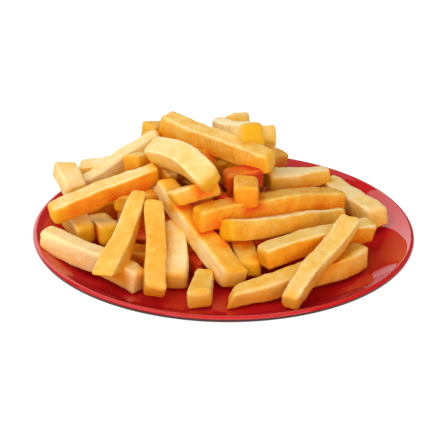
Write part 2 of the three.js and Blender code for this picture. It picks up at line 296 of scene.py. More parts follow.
# %% Fries placed one by one, in mm and degrees
FRY = 11
PLAIN = {"rise": 0, "sway": 0, "roll": 0, "thick": (FRY, FRY), "cut": (0, 0), "pitch": (0, 0)}
BLISTERED = {"kind": "fries_blistered"}
RIDGED = {"kind": "fries_ridged"}
PLACED = [
    # how brown its upper face is, painted paler as if lit, and how brown its other faces are,
    # painted deeper as if shaded, from 0 to a little over 1 in deep shade, and how yellow its
    # ends, from 0 to 1, then the places of both ends and what isn't plain

    # leaning down to the front edge of the plate
    ((0.12, 0.12, 0.3), (-92, -27, 22.5), (-41, -52, 11), {"sway": 2, "roll": 4}),
    ((0.40, 0.55, 0.5), (-56, -56, 15), (-43, -15, 42), {"thick": (13, 8), "pitch": (-30, 0)}),
    ((0.48, 0.60, 0.4), (-33, -63, 11), (-35, -20, 40.5), {"rise": -1, "thick": (10, 9.5)}),
    ((0.00, 0.18, 0.7), (-23, -51, 11), (-24, -16, 26), {"thick": (12.5, 10.5)}),
    ((0.40, 0.45, 0.2), (-11, -69, 10.5), (-9, -42, 11), {"thick": (11, 8), "cut": (20, 0)}),
    (
        (0.52, 0.10, 0.8), (-33, -5, 45), (6, -50, 12),
        {"rise": -1, "thick": (10, 12.5), "cut": (0, -20)},
    ),
    ((0.45, 0.40, 0.7), (14, -42, 13), (9, -20, 18), {}),
    ((0.30, 0.42, 0.5), (31, -73, 13), (65, -19, 30), {"thick": (9, 10)}),
    (
        (0.30, 0.38, 0.1), (4, -64, 9.5), (71, -23, 15),
        {"sway": -4, "thick": (9.5, 12.5), "cut": (-30, 0), "pitch": (30, 0)},
    ),
    ((0.75, 0.90, 0.6), (-60, -24, 13), (-31, -30, 13), {}),
    # across the right side
    (
        (0.55, 0.74, 0.4), (-14, -28, 31), (64, 22, 24),
        {"rise": 2, "roll": 3, "thick": (11.5, 11.5), **BLISTERED},
    ),
    (
        (0.22, 0.56, 0.9), (0.5, -32, 30), (64, 9, 20),
        {"rise": -1, "roll": 22, "thick": (11.5, 10)},
    ),
    ((0.25, 0.70, 0.4), (20, -43, 20.5), (77, -6, 19), {"rise": 2}),
    ((0.10, 0.25, 0.2), (57, 51, 22.5), (82, 8, 19.5), {"thick": (11, 12)}),
    ((0.00, 0.45, 0.8), (24, 33, 28.5), (58, 48, 25.5), {"thick": (12.5, 8.5)}),
    ((0.05, 0.20, 0.4), (66, 27, 13), (38, 43, 13), {}),
    ((0.80, 0.95, 0.0), (20, 13, 24), (50, 33, 20), {}),
    # on top
    (
        (0.15, 0.35, 0.7), (-37, 14, 53), (-6, -19, 51),
        {"rise": 4, "roll": -30, "thick": (13, 13)},
    ),
    (
        (0.30, 0.52, 0.8), (-33, 45, 58), (25, 8, 49),
        {"rise": -1.5, "roll": -8, "thick": (11.5, 10.5), **RIDGED},
    ),
    (
        (0.20, 0.45, 0.6), (-25.5, -21.5, 41.5), (-5, -6, 41),
        {"roll": 25, "thick": (8.5, 10), "pitch": (-35, 0)},
    ),
    ((0.60, 0.92, 0.4), (10.4, -18, 41), (11.4, -3, 43), {"thick": (12.5, 12)}),
    ((1.00, 1.15, 0.0), (1, 4, 40), (19, 11, 44.5), {}),
    ((0.25, 0.60, 0.1), (-36, 19, 45), (-27, 7, 40), {"thick": (8.5, 8.5)}),
    ((0.05, 0.20, 1.0), (-5, 60, 54), (15, 22, 60), {"rise": -2.5, "thick": (6.5, 14)}),
    ((0.20, 0.40, 0.2), (9, 56, 56), (2, 78, 44), {}),
    ((0.10, 0.30, 0.1), (22, 38, 56), (23, 56, 32), {}),
    ((0.65, 0.85, 0.2), (33.5, 79, 24), (14, 56, 28), {}),
    # over the left side
    (
        (0.20, 0.80, 1.0), (-88, -15, 29), (-35, 6, 44.5),
        {"rise": 1, "roll": -6, "thick": (9.5, 9.5)},
    ),
    ((0.12, 0.22, 0.4), (-77, 26, 26), (-35, 38, 51.5), {}),
    ((0.42, 0.45, 0.6), (-44, 53, 49), (-18, 74, 42), {}),
    ((0.05, 0.45, 0.8), (-79, 37, 31), (-42, 42, 36), {}),
    ((0.15, 0.25, 0.8), (-87, 28, 37.5), (-79, 10, 29.5), {"cut": (-15, 0)}),
    ((0.38, 0.42, 0.9), (-70.5, -17, 18), (-84, 10, 22), {}),
    ((0.30, 0.75, 1.0), (-58.5, -20, 19), (-69, 12, 14), {}),
    ((0.25, 0.40, 0.9), (-58, -3, 33), (-25, -1, 34), {"thick": (8.5, 10)}),
    ((0.60, 0.85, 0.4), (-56, -3, 23), (-25, 5, 24), {}),
    ((0.80, 0.95, 0.0), (-74, 12, 14), (-40, 46, 16), {}),
]
placed = [{**PLAIN, "from": a, "to": b, "tone": tone, **more} for tone, a, b, more in PLACED]
print(len(placed), "fries placed one by one")

# %% Rules of the courses, in mm and degrees
HEAP = {"x": -2, "y": 4, "depth": 0.88}
COURSES = [
    {"count": 7, "arc": (-160, 200), "middle": (32, 11.5), "half": 27},
    {"count": 4, "arc": (20, 380), "middle": (20, 23), "half": 24},
    {"count": 6, "arc": (68, 150), "foot": (74, 13), "head": (34, 32)},
    {"count": 4, "arc": (66, 145), "middle": (52, 34), "half": 26},
    {"count": 4, "arc": (55, 135), "foot": (50, 34), "head": (20, 44)},
]
INNER_COURSES = 2
COURSE_SEED = 5
UNEVEN = {"bend": 3, "roll": 25, "thick": (10, 11.6), "cut": 18}
ACROSS_UNEVEN = {"degrees": 6, "distance": 4, "height": 2, "turn": 28, "half": 5, "tip": 5}
LEANING_UNEVEN = {"degrees": 7, "foot": (5, 3), "turn": 22, "head": (6, 3)}

RANDOM_TIMES = 1664525
RANDOM_PLUS = 1013904223
RANDOM_BELOW = 2**32


def numbers(seed):
    """Seeded numbers between 0 and 1, the same on every run."""
    state = seed
    while True:
        state = (state * RANDOM_TIMES + RANDOM_PLUS) % RANDOM_BELOW
        yield state / RANDOM_BELOW


draws = numbers(COURSE_SEED)


def between(low, high):
    return low + (high - low) * next(draws)


def about(most):
    return between(-most, most)


print("fries in each course:", [course["count"] for course in COURSES])


# %% Ends of a fry in a course
def heap_point(degrees, distance, height):
    a = math.radians(degrees)
    y = HEAP["y"] + HEAP["depth"] * distance * math.sin(a)
    return np.array((HEAP["x"] + distance * math.cos(a), y, height))


def across_ends(course, direction):
    """The two ends of a fry that lies across the heap's slope."""
    degrees = direction + about(ACROSS_UNEVEN["degrees"])
    distance = course["middle"][0] + about(ACROSS_UNEVEN["distance"])
    height = course["middle"][1] + about(ACROSS_UNEVEN["height"])
    turn = math.radians(degrees + 90 + about(ACROSS_UNEVEN["turn"]))
    half = course["half"] + about(ACROSS_UNEVEN["half"])
    along = np.array((math.cos(turn) * half, math.sin(turn) * half, about(ACROSS_UNEVEN["tip"])))
    middle = heap_point(degrees, distance, height)
    return middle - along, middle + along


def leaning_ends(course, direction):
    """The two ends of a fry that leans on the heap, the low one first."""
    degrees = direction + about(LEANING_UNEVEN["degrees"])
    foot = [size + about(most) for size, most in zip(course["foot"], LEANING_UNEVEN["foot"])]
    turn = degrees + about(LEANING_UNEVEN["turn"])
    head = [size + about(most) for size, most in zip(course["head"], LEANING_UNEVEN["head"])]
    return heap_point(degrees, *foot), heap_point(turn, *head)


print("the lowest course's first point:", heap_point(COURSES[0]["arc"][0], *COURSES[0]["middle"]))

# %% Fries laid in courses
# the fries inside the heap are painted in deep shade
INSIDE_SHADE_TONE = (1.15, 1.3, 0)
OUTSIDE_TONES = (
    # brown and painted light above, brown and painted shade beside, and yellow ends: the least,
    # one step, the number of steps
    (0.15, 0.06, 5),
    (0.40, 0.07, 5),
    (0.10, 0.20, 4),
)


def course_fries():
    fries = []
    for course in COURSES:
        first, last = course["arc"]
        for i in range(course["count"]):
            direction = first + (last - first) * (i + 0.5) / course["count"]
            ends = across_ends if "middle" in course else leaning_ends
            start, end = ends(course, direction)
            fry = {**PLAIN, "from": start, "to": end}
            for key in ("rise", "sway"):
                fry[key] = about(UNEVEN["bend"])
            fry["roll"] = about(UNEVEN["roll"])
            fry["thick"] = (between(*UNEVEN["thick"]), between(*UNEVEN["thick"]))
            fry["cut"] = (about(UNEVEN["cut"]), about(UNEVEN["cut"]))
            fries.append(fry)
    return fries


courses = course_fries()
inside_count = sum(course["count"] for course in COURSES[:INNER_COURSES])
for fry in courses[:inside_count]:
    fry.update(tone=INSIDE_SHADE_TONE, kind="fries_inside")
for i, fry in enumerate(courses[inside_count:]):
    fry["tone"] = [least + step * (i % steps) for least, step, steps in OUTSIDE_TONES]
print(len(courses), "fries laid in courses,", inside_count, "of them inside the heap")

# %% [markdown]
# ## Settling the heap
# Each round finds the closest points of every two fries. Where they are nearer than a fry is
# thick, both are pushed away from each other at that point, and a placed fry gives way less
# and goes back towards its place. The arrays hold all the fries at once, so all the rounds
# together take a moment.

# %% The fries as arrays
PLACED_WEIGHT = 6
LINE_POINTS = 9
TINY = 1e-12

fries = placed + courses


def column(key):
    return np.array([fry[key] for fry in fries], float)


starts, ends = column("from"), column("to")
rise, sway, roll = column("rise"), column("sway"), column("roll")
thick, tone = column("thick"), column("tone")
size = thick.mean(axis=1)
weight = np.array([PLACED_WEIGHT] * len(placed) + [1] * len(courses))


def unit(vectors):
    return vectors / np.maximum(np.linalg.norm(vectors, axis=-1, keepdims=True), TINY)


def directions(starts, ends):
    """Each fry's own directions: along it, to its left and upwards."""
    along = unit(ends - starts)
    left = unit(np.cross((0, 0, 1), along))
    return along, left, np.cross(along, left)


def bends(starts, ends):
    """How far the middle of each fry lies off the straight line between its ends."""
    along, left, up = directions(starts, ends)
    return up * rise[:, None] + left * sway[:, None]


def middle_lines(starts, ends):
    """Points along the bent middle line of each fry."""
    t = np.linspace(0, 1, LINE_POINTS)[None, :, None]
    straight = starts[:, None] * (1 - t) + ends[:, None] * t
    return straight + bends(starts, ends)[:, None] * 4 * t * (1 - t)


print("the fries are", size.min(), "to", size.max(), "mm thick")

# %% One round of settling
TOUCH = 0.93
PUSH = 0.6
REACH = 95


def push_apart(starts, ends):
    """Moves every two fries apart at the points where they come nearest."""
    lines = middle_lines(starts, ends)
    apart = lines[:, None, :, None] - lines[None, :, None, :]
    square = (apart**2).sum(axis=-1).reshape(len(fries), len(fries), -1)
    nearest = square.argmin(axis=-1)
    mine, theirs = np.divmod(nearest, LINE_POINTS)
    i, j = np.indices(nearest.shape)
    wanted = TOUCH * (size[:, None] + size[None, :]) / 2
    overlap = np.maximum(wanted - np.sqrt(square[i, j, nearest]), 0)
    np.fill_diagonal(overlap, 0)
    share = weight[None, :] / (weight[:, None] + weight[None, :])
    push = unit(apart[i, j, mine, theirs]) * (PUSH * overlap * share)[..., None]
    t = (mine / (LINE_POINTS - 1))[..., None]
    return starts + (push * (1 - t)).sum(axis=1), ends + (push * t).sum(axis=1)


def keep_on_plate(starts, ends):
    """Lifts the fries out of the plate and keeps their ends inside its rim."""
    lines = middle_lines(starts, ends)
    room = lines[..., 2] - plate_top(np.hypot(lines[..., 0], lines[..., 1])) - size[:, None] / 2
    low = room.argmin(axis=1)
    lift = np.maximum(-room.min(axis=1), 0)
    t = low / (LINE_POINTS - 1)
    starts[:, 2] += lift * (1 - t)
    ends[:, 2] += lift * t
    for end in (starts, ends):
        end[:, :2] *= np.minimum(1, REACH / np.hypot(end[:, 0], end[:, 1]))[:, None]
    return starts, ends


first_push = push_apart(starts, ends)[0] - starts
print(f"the first round pushes a start by up to {np.abs(first_push).max():.1f} mm")

# %% Settle
SETTLE_ROUNDS = 60
HOMING = 0.15


def settle(starts, ends):
    homes = starts.copy(), ends.copy()
    half = np.linalg.norm(ends - starts, axis=1, keepdims=True) / 2
    pull = np.where(weight > 1, HOMING, 0)[:, None]
    for _ in range(SETTLE_ROUNDS):
        starts, ends = keep_on_plate(*push_apart(starts, ends))
        middle = (starts + ends) / 2
        along = unit(ends - starts)
        starts, ends = middle - along * half, middle + along * half
        starts += (homes[0] - starts) * pull
        ends += (homes[1] - ends) * pull
    return starts, ends


placed_starts = starts.copy()
starts, ends = settle(starts, ends)
moved = np.linalg.norm(starts - placed_starts, axis=1)
print(f"settled {len(fries)} fries; the placed ones moved {moved[: len(placed)].mean():.1f} mm")

# %% [markdown]
# ## One fry
# A fry is a bar of potato with a square section, rounded edges, two cut ends, a slight bend and
# a skin that frying has made uneven. It could be modelled by hand and copied, but no two
# fries are alike, so Geometry Nodes make each from its own numbers. The tree takes loose
# points, one for each fry, and puts a finely divided cube on each. The next cells move the
# cube's own points until it is that fry. The tree's inputs are what the fries of one kind
# share, and what differs from fry to fry comes with the points, as named attributes.

# %% Inputs of the fry tree
FRY_INPUTS = {
    # name: (kind of socket, value)
    "Steps Along": ("NodeSocketInt", 72),
    "Steps Across": ("NodeSocketInt", 15),
    "Edge Radius": ("NodeSocketFloat", 1.5 * MM),
    "End Radius": ("NodeSocketFloat", 0.9 * MM),
    "Wear Length": ("NodeSocketFloat", 9 * MM),
    "End Length": ("NodeSocketFloat", 9 * MM),
    "Wander": ("NodeSocketFloat", 3.6 * MM),
    "Wander Length": ("NodeSocketFloat", 30 * MM),
    "Wave Height": ("NodeSocketFloat", 1.2 * MM),
    "Wave Length": ("NodeSocketFloat", 14 * MM),
    "Bump Height": ("NodeSocketFloat", 0.8 * MM),
    "Bump Length": ("NodeSocketFloat", 4 * MM),
    "Blister Height": ("NodeSocketFloat", 0.3 * MM),
    "Blister Length": ("NodeSocketFloat", 1.9 * MM),
    "Ridge Height": ("NodeSocketFloat", 0.0),
    "Ridge Length": ("NodeSocketFloat", 2.1 * MM),
    "Seed": ("NodeSocketFloat", 3.0),
}

tree = bpy.data.node_groups.new("fry", "GeometryNodeTree")
face = tree.interface
face.new_socket("Fries", in_out="INPUT", socket_type="NodeSocketGeometry")
for name, (kind, value) in FRY_INPUTS.items():
    face.new_socket(name, in_out="INPUT", socket_type=kind).default_value = value
face.new_socket("Skin", in_out="INPUT", socket_type="NodeSocketMaterial")
face.new_socket("Fries", in_out="OUTPUT", socket_type="NodeSocketGeometry")
given = tree.nodes.new("NodeGroupInput").outputs
print("the fry tree has", len(FRY_INPUTS), "sizes and steps as inputs")

# %% A cube on every point
FRY_NUMBERS = ("start", "end", "bend", "crown", "thickness", "slants", "pitches", "section")

across = given["Steps Across"]
cube = add(tree, "GeometryNodeMeshCube", (1, 1, 1), given["Steps Along"], across, across)
cubes = add(tree, "GeometryNodeInstanceOnPoints", given["Fries"], None, cube)
bars = add(tree, "GeometryNodeRealizeInstances", cubes)
place = add(tree, "GeometryNodeInputPosition")
own = {
    name: add(tree, "GeometryNodeInputNamedAttribute", name, data_type="FLOAT_VECTOR")
    for name in FRY_NUMBERS
}
print("each point brings its fry's", ", ".join(own))

# %% [markdown]
# ### Its size
# The cube runs from -0.5 at the fry's start to 0.5 at its end. Its points times the fry's
# length, breadth and depth make a bar. No fry is cut to a gauge: the thickness blends from one
# end's to the other's, and the section is a little off square.

# %% The bar
part_way = add(tree, "ShaderNodeSeparateXYZ", place)
share = add(tree, "ShaderNodeMath", part_way, 0.5, operation="ADD")
girths = add(tree, "ShaderNodeSeparateXYZ", own["thickness"]).node.outputs
mixing = {"Factor_Float": share, "A_Float": girths[0], "B_Float": girths[1]}
girth = add(tree, "ShaderNodeMix", named=mixing, data_type="FLOAT")
chord = add(tree, "ShaderNodeVectorMath", own["end"], own["start"], operation="SUBTRACT")
length = add(tree, "ShaderNodeVectorMath", chord, out=1, operation="LENGTH")
ratio, lean, twist = add(tree, "ShaderNodeSeparateXYZ", own["section"]).node.outputs
breadth = add(tree, "ShaderNodeMath", girth, ratio, operation="MULTIPLY")
depth = add(tree, "ShaderNodeMath", girth, ratio, operation="DIVIDE")
full = add(tree, "ShaderNodeCombineXYZ", length, breadth, depth)
bar = add(tree, "ShaderNodeVectorMath", place, full, operation="MULTIPLY")
print("nodes so far:", len(tree.nodes))

# %% [markdown]
# ### Rounded, worn edges
# Frying blunts the cut edges. A Bevel modifier would round them all alike. Here each point is
# drawn in to its edge radius from the nearest point of a smaller box inside the bar, so the
# radius can differ from place to place, as on worn edges, and be larger near the ends.

# %% Radius of the edges
WEAR_NOISE = (0.3, 0.7)
WEAR = (0.5, 1.5)

frequency = add(tree, "ShaderNodeMath", 1.0, given["Wear Length"], operation="DIVIDE")
somewhere = add(tree, "ShaderNodeVectorMath", bar, own["start"], operation="ADD")
noise = add(
    tree, "ShaderNodeTexNoise", somewhere, given["Seed"], frequency, 0.0, noise_dimensions="4D"
)
worn = add(tree, "ShaderNodeMapRange", noise, *WEAR_NOISE, *WEAR)
on_bar = add(tree, "ShaderNodeSeparateXYZ", bar).node.outputs
off_middle = add(tree, "ShaderNodeMath", on_bar[0], operation="ABSOLUTE")
half_length = add(tree, "ShaderNodeMath", length, 0.5, operation="MULTIPLY")
to_end = add(tree, "ShaderNodeMath", half_length, off_middle, operation="SUBTRACT")
near_end = add(
    tree, "ShaderNodeMapRange", to_end, 0.0, given["End Length"], 1.0, 0.0,
    interpolation_type="SMOOTHSTEP",
)
at_ends = add(tree, "ShaderNodeMath", near_end, given["End Radius"], operation="MULTIPLY")
radius = add(
    tree, "ShaderNodeMath", worn, given["Edge Radius"], at_ends, operation="MULTIPLY_ADD"
)
print("the edge radius is", WEAR[0], "to", WEAR[1], "times the one given")

# %% Points drawn in to that radius
half = add(tree, "ShaderNodeVectorMath", full, (0.5, 0.5, 0.5), operation="MULTIPLY")
limit = add(tree, "ShaderNodeVectorMath", half, radius, operation="SUBTRACT")
other_limit = add(tree, "ShaderNodeVectorMath", limit, (-1, -1, -1), operation="MULTIPLY")
clear = add(tree, "ShaderNodeVectorMath", bar, other_limit, operation="MAXIMUM")
nearest = add(tree, "ShaderNodeVectorMath", clear, limit, operation="MINIMUM")
away = add(tree, "ShaderNodeVectorMath", bar, nearest, operation="SUBTRACT")
outward = add(tree, "ShaderNodeVectorMath", away, operation="NORMALIZE")
rounded = add(tree, "ShaderNodeVectorMath", outward, radius, nearest, operation="MULTIPLY_ADD")
print("nodes so far:", len(tree.nodes))

# %% [markdown]
# ### Marks for the material
# The crust's colour, with its painted light and shade, depends on where a point lies on its
# fry. That is easy to tell here, on the straight bar, and hard to tell later, so the tree
# writes it on the points: where the cut ends, their neighbourhood, the upper face and the long
# edges are, how low on the fry the point lies, from 0 to 1, and how far along it.

# %% Marks
facing = add(tree, "ShaderNodeVectorMath", outward, operation="ABSOLUTE")
faces = add(tree, "ShaderNodeSeparateXYZ", facing).node.outputs
raised = add(tree, "ShaderNodeMath", on_bar[2], depth, operation="DIVIDE")
marks = {
    "cut_end": faces[0],
    "near_end": near_end,
    "on_top": add(tree, "ShaderNodeSeparateXYZ", outward).node.outputs[2],
    "edge": add(tree, "ShaderNodeMath", faces[1], faces[2], operation="MINIMUM"),
    "low": add(tree, "ShaderNodeMath", 0.5, raised, operation="SUBTRACT"),
    "distance_along": add(tree, "ShaderNodeSeparateXYZ", rounded),
}
marked = bars
for name, value in marks.items():
    marked = add(
        tree, "GeometryNodeStoreNamedAttribute", marked, None, name, value,
        data_type="FLOAT", domain="POINT",
    )
print("marks:", ", ".join(marks))

# %% [markdown]
# ### Laid along a bent line
# A fry sags and twists a little as it fries, and is seldom cut straight across. A Curve
# modifier could bend it. The tree works each place out instead: x goes along a parabola from
# the fry's start to its end, and y and z go from there to the side and up. A slow noise makes
# the line wander.

# %% The bar leaned and twisted
on_fry = add(tree, "ShaderNodeSeparateXYZ", rounded).node.outputs
from_middle = add(tree, "ShaderNodeMath", on_fry[0], length, operation="DIVIDE")
turn = add(tree, "ShaderNodeMath", from_middle, twist, operation="MULTIPLY")
leaned = add(tree, "ShaderNodeMath", on_fry[2], lean, on_fry[1], operation="MULTIPLY_ADD")
flat = add(tree, "ShaderNodeCombineXYZ", on_fry[0], leaned, on_fry[2])
twisted = add(tree, "ShaderNodeVectorRotate", flat, None, None, turn, rotation_type="X_AXIS")
spot = add(tree, "ShaderNodeSeparateXYZ", twisted).node.outputs
print("nodes so far:", len(tree.nodes))

# %% The middle line and its directions
s = add(tree, "ShaderNodeMath", from_middle, 0.5, operation="ADD")
rest = add(tree, "ShaderNodeMath", 1.0, s, operation="SUBTRACT")
arch = add(tree, "ShaderNodeMath", s, rest, operation="MULTIPLY")
# the parabola 4 s (1 - s), 1 in the middle and 0 at the ends, and its slope 4 - 8 s
bow = add(tree, "ShaderNodeMath", arch, 4.0, operation="MULTIPLY")
slope = add(tree, "ShaderNodeMath", from_middle, -8.0, operation="MULTIPLY")
straight = add(tree, "ShaderNodeVectorMath", chord, s, own["start"], operation="MULTIPLY_ADD")
middle = add(
    tree, "ShaderNodeVectorMath", own["bend"], bow, straight, operation="MULTIPLY_ADD"
)
heading = add(
    tree, "ShaderNodeVectorMath", own["bend"], slope, chord, operation="MULTIPLY_ADD"
)
along = add(tree, "ShaderNodeVectorMath", heading, operation="NORMALIZE")
sideways = add(tree, "ShaderNodeVectorMath", along, own["crown"], operation="CROSS_PRODUCT")
side = add(tree, "ShaderNodeVectorMath", sideways, operation="NORMALIZE")
high = add(tree, "ShaderNodeVectorMath", side, along, operation="CROSS_PRODUCT")

frequency = add(tree, "ShaderNodeMath", 1.0, given["Wander Length"], operation="DIVIDE")
noise = add(
    tree, "ShaderNodeTexNoise", middle, given["Seed"], frequency, 0.0, out=1,
    noise_dimensions="4D",
)
drift = add(tree, "ShaderNodeVectorMath", noise, (0.5, 0.5, 0.5), operation="SUBTRACT")
wandering = add(
    tree, "ShaderNodeVectorMath", drift, given["Wander"], middle, operation="MULTIPLY_ADD"
)
print("nodes so far:", len(tree.nodes))

# %% Slanting ends, and every point in its place
SLANT_REACH = 0.25

lead = 0.0
for name, offset in (("slants", spot[1]), ("pitches", spot[2])):
    at_start, at_end = add(tree, "ShaderNodeSeparateXYZ", own[name]).node.outputs[:2]
    first = add(tree, "ShaderNodeMapRange", s, 0.0, SLANT_REACH, at_start, 0.0)
    last = add(tree, "ShaderNodeMapRange", s, 1 - SLANT_REACH, 1.0, 0.0, at_end)
    slant = add(tree, "ShaderNodeMath", first, last, operation="ADD")
    lead = add(tree, "ShaderNodeMath", slant, offset, lead, operation="MULTIPLY_ADD")
laid = wandering
for direction, distance in ((side, spot[1]), (high, spot[2]), (along, lead)):
    laid = add(
        tree, "ShaderNodeVectorMath", direction, distance, laid, operation="MULTIPLY_ADD"
    )
lying = add(tree, "GeometryNodeSetPosition", marked, None, laid)
print("each end's slant reaches", SLANT_REACH, "of the way along the fry")

# %% [markdown]
# ### Uneven skin
# Hot oil puffs the skin up in long waves, small bumps and fine blisters. Each is a noise of its
# own size that pushes the points out and in along the normal. A ridged fry also has the fine
# marks of the blade that cut it: a sine wave along the fry, which the finest noise bends and
# breaks. It is 0 high on the other kinds.

# %% Waves, bumps and blisters
normal = add(tree, "GeometryNodeInputNormal")
rough = lying
for name, detail in (("Wave", 0.0), ("Bump", 1.0), ("Blister", 1.0)):
    frequency = add(tree, "ShaderNodeMath", 1.0, given[name + " Length"], operation="DIVIDE")
    point = add(tree, "GeometryNodeInputPosition")
    noise = add(
        tree, "ShaderNodeTexNoise", point, given["Seed"], frequency, detail,
        noise_dimensions="4D",
    )
    swing = add(tree, "ShaderNodeMath", noise, -0.5, operation="ADD")
    height = add(tree, "ShaderNodeMath", swing, given[name + " Height"], operation="MULTIPLY")
    shift = add(tree, "ShaderNodeVectorMath", normal, height, operation="MULTIPLY")
    rough = add(tree, "GeometryNodeSetPosition", rough, None, None, shift)
print("nodes so far:", len(tree.nodes))

# %% Ridges, and the end of the tree
along_fry = add(tree, "GeometryNodeInputNamedAttribute", "distance_along", data_type="FLOAT")
broken = add(
    tree, "ShaderNodeMath", swing, given["Wave Height"], along_fry, operation="MULTIPLY_ADD"
)
close = add(tree, "ShaderNodeMath", math.tau, given["Ridge Length"], operation="DIVIDE")
phase = add(tree, "ShaderNodeMath", broken, close, operation="MULTIPLY")
ridge = add(tree, "ShaderNodeMath", phase, operation="SINE")
height = add(tree, "ShaderNodeMath", ridge, given["Ridge Height"], operation="MULTIPLY")
shift = add(tree, "ShaderNodeVectorMath", normal, height, operation="MULTIPLY")
ridged = add(tree, "GeometryNodeSetPosition", rough, None, None, shift)

# the fry's directions mirror the cube, so its faces are turned over to look outwards
outwards = add(tree, "GeometryNodeFlipFaces", ridged)
smooth = add(tree, "GeometryNodeSetShadeSmooth", outwards)
real = add(tree, "GeometryNodeRealizeInstances", smooth)
skinned = add(tree, "GeometryNodeSetMaterial", real, None, given["Skin"])
add(tree, "NodeGroupOutput", skinned)
print("the tree of a fry has", len(tree.nodes), "nodes")

# %% [markdown]
# ## Fried potato
# A fry's crust is dry and matte, with a faint oily sheen. Light goes a few millimetres into the
# potato and comes back warmer, which is what subsurface scattering does, so shaded faces glow
# orange instead of turning grey. The colour could be painted on. Here it is worked out from one
# number, how brown the crust is, with painted light and shade added by rules: upper faces are
# painted pale and creamy, as if lit, sides a deeper gold, as if shaded, and deeper still
# towards the bottom, and painted shade makes the crust deepest orange where other fries lie
# close over it. Edges get a paler painted highlight, the skin near the cut ends is a clear
# yellow, and patches, mottle and grain make every face uneven.

# %% Colours and patterns of the crust
CRUST_COLOURS = {
    # from this much browning and painted shade on; past 1 it is painted shade, inside the heap
    # and in its crevices
    0.00: "F4E0A8",
    0.35: "ECC156",
    0.65: "E8A01C",
    1.00: "E26808",
    1.40: "C63008",
}
END_YELLOW = "E6B00A"
PATTERNS = {
    # name: (size in mm, how much it changes the browning); real grain is finer than this and
    # would not show
    "patches": (22, 0.45),
    "mottle": (6, 0.5),
    "grain": (0.9, 0.35),
}
PATTERN_DETAIL = 2.0
# painted shade: a side is deeper towards its lower edge
LOWER_SHADE = 0.15
# painted shade in the crevices under other fries
CREVICE_SHADE = 0.62
# a painted highlight along the long edges
EDGE_HIGHLIGHT = 0.32
# where the upper face begins, which is painted paler, as if lit
UPPER_FACE_FROM = (0.3, 0.7)
print(len(CRUST_COLOURS), "crust colours and", len(PATTERNS), "patterns")


# %% Material of the fries
def fried_potato(name, roughness, grain_depth):
    material = bpy.data.materials.new(name)
    material.use_nodes = True
    tree = material.node_tree
    shader = tree.nodes["Principled BSDF"]
    place = add(tree, "ShaderNodeTexCoord", out=3)
    marks = {
        name: add(tree, "ShaderNodeAttribute", out=2, attribute_name=name)
        for name in (
            "brown_and_light_above", "brown_and_shade_beside", "yellow_ends", "on_top", "low",
            "cut_end", "near_end", "edge", "crevice",
        )
    }

    # how brown the crust is here, with painted light and shade: the fry's own values for its
    # upper face, painted paler as if lit, and for its other faces, painted deeper as if shaded; a
    # side painted paler above and in deeper shade below; then patchy, mottled and grained
    lower_shade = add(
        tree, "ShaderNodeMapRange", marks["low"], 0.0, 1.0, -LOWER_SHADE, LOWER_SHADE
    )
    beside = add(tree, "ShaderNodeMath", marks["brown_and_shade_beside"], lower_shade, operation="ADD")
    facing = add(tree, "ShaderNodeMapRange", marks["on_top"], *UPPER_FACE_FROM, 0.0, 1.0)
    mixing = {"Factor_Float": facing, "A_Float": beside, "B_Float": marks["brown_and_light_above"]}
    brown = add(tree, "ShaderNodeMix", named=mixing, data_type="FLOAT")
    patterns = {}
    for name, (length, contrast) in PATTERNS.items():
        noise = add(tree, "ShaderNodeTexNoise", place, None, 1 / (length * MM), PATTERN_DETAIL)
        swing = add(tree, "ShaderNodeMath", noise, -0.5, operation="ADD")
        brown = add(tree, "ShaderNodeMath", swing, contrast, brown, operation="MULTIPLY_ADD")
        patterns[name] = noise
    # painted shade where other fries lie close over it, and a painted highlight along its edges
    for name, change in (("crevice", CREVICE_SHADE), ("edge", -EDGE_HIGHLIGHT)):
        brown = add(tree, "ShaderNodeMath", marks[name], change, brown, operation="MULTIPLY_ADD")
    stops = list(CRUST_COLOURS.items())
    crust = colour(stops[0][1])
    for (start, _), (end, hex_code) in zip(stops, stops[1:]):
        share = add(tree, "ShaderNodeMapRange", brown, start, end, 0.0, 1.0)
        mixing = {"Factor_Float": share, "A_Color": crust, "B_Color": colour(hex_code)}
        crust = add(tree, "ShaderNodeMix", named=mixing, out=2, data_type="RGBA")

    # the ends keep the clear yellow of the potato: the cut itself, and less so the skin near it
    at_end = add(tree, "ShaderNodeMath", marks["cut_end"], marks["near_end"], operation="ADD")
    share = add(tree, "ShaderNodeMath", at_end, 0.5, operation="MULTIPLY")
    share = add(tree, "ShaderNodeMath", share, marks["yellow_ends"], operation="MULTIPLY")
    mixing = {"Factor_Float": share, "A_Color": crust, "B_Color": colour(END_YELLOW)}
    crust = add(tree, "ShaderNodeMix", named=mixing, out=2, data_type="RGBA")
    tree.links.new(crust, shader.inputs["Base Color"])

    relief = {"Strength": 0.5, "Distance": grain_depth, "Height": patterns["grain"]}
    bumps = add(tree, "ShaderNodeBump", named=relief)
    tree.links.new(bumps, shader.inputs["Normal"])
    shader.inputs["Roughness"].default_value = roughness
    shader.inputs["Subsurface Weight"].default_value = 0.25
    shader.inputs["Subsurface Radius"].default_value = (1.0, 0.4, 0.1)
    shader.inputs["Subsurface Scale"].default_value = 2 * MM
    shader.inputs["Specular IOR Level"].default_value = 0.3
    return material


KINDS = {
    # name: (roughness, depth of the grain in mm, the kind's own values for the tree)
    "fries_pale": (0.60, 0.4, {"Blister Height": 0.35 * MM}),
    "fries_golden": (0.55, 0.5, {"Blister Height": 0.45 * MM}),
    "fries_toasted": (0.50, 0.6, {"Blister Height": 0.6 * MM}),
    "fries_blistered": (0.50, 0.6, {"Blister Height": 1.1 * MM, "Steps Along": 130}),
    "fries_ridged": (0.55, 0.5, {"Ridge Height": 0.11 * MM, "Steps Along": 200}),
    "fries_inside": (0.60, 0.5, {"Blister Height": 0.4 * MM, "Steps Along": 40}),
}
print(len(KINDS), "kinds of fries")

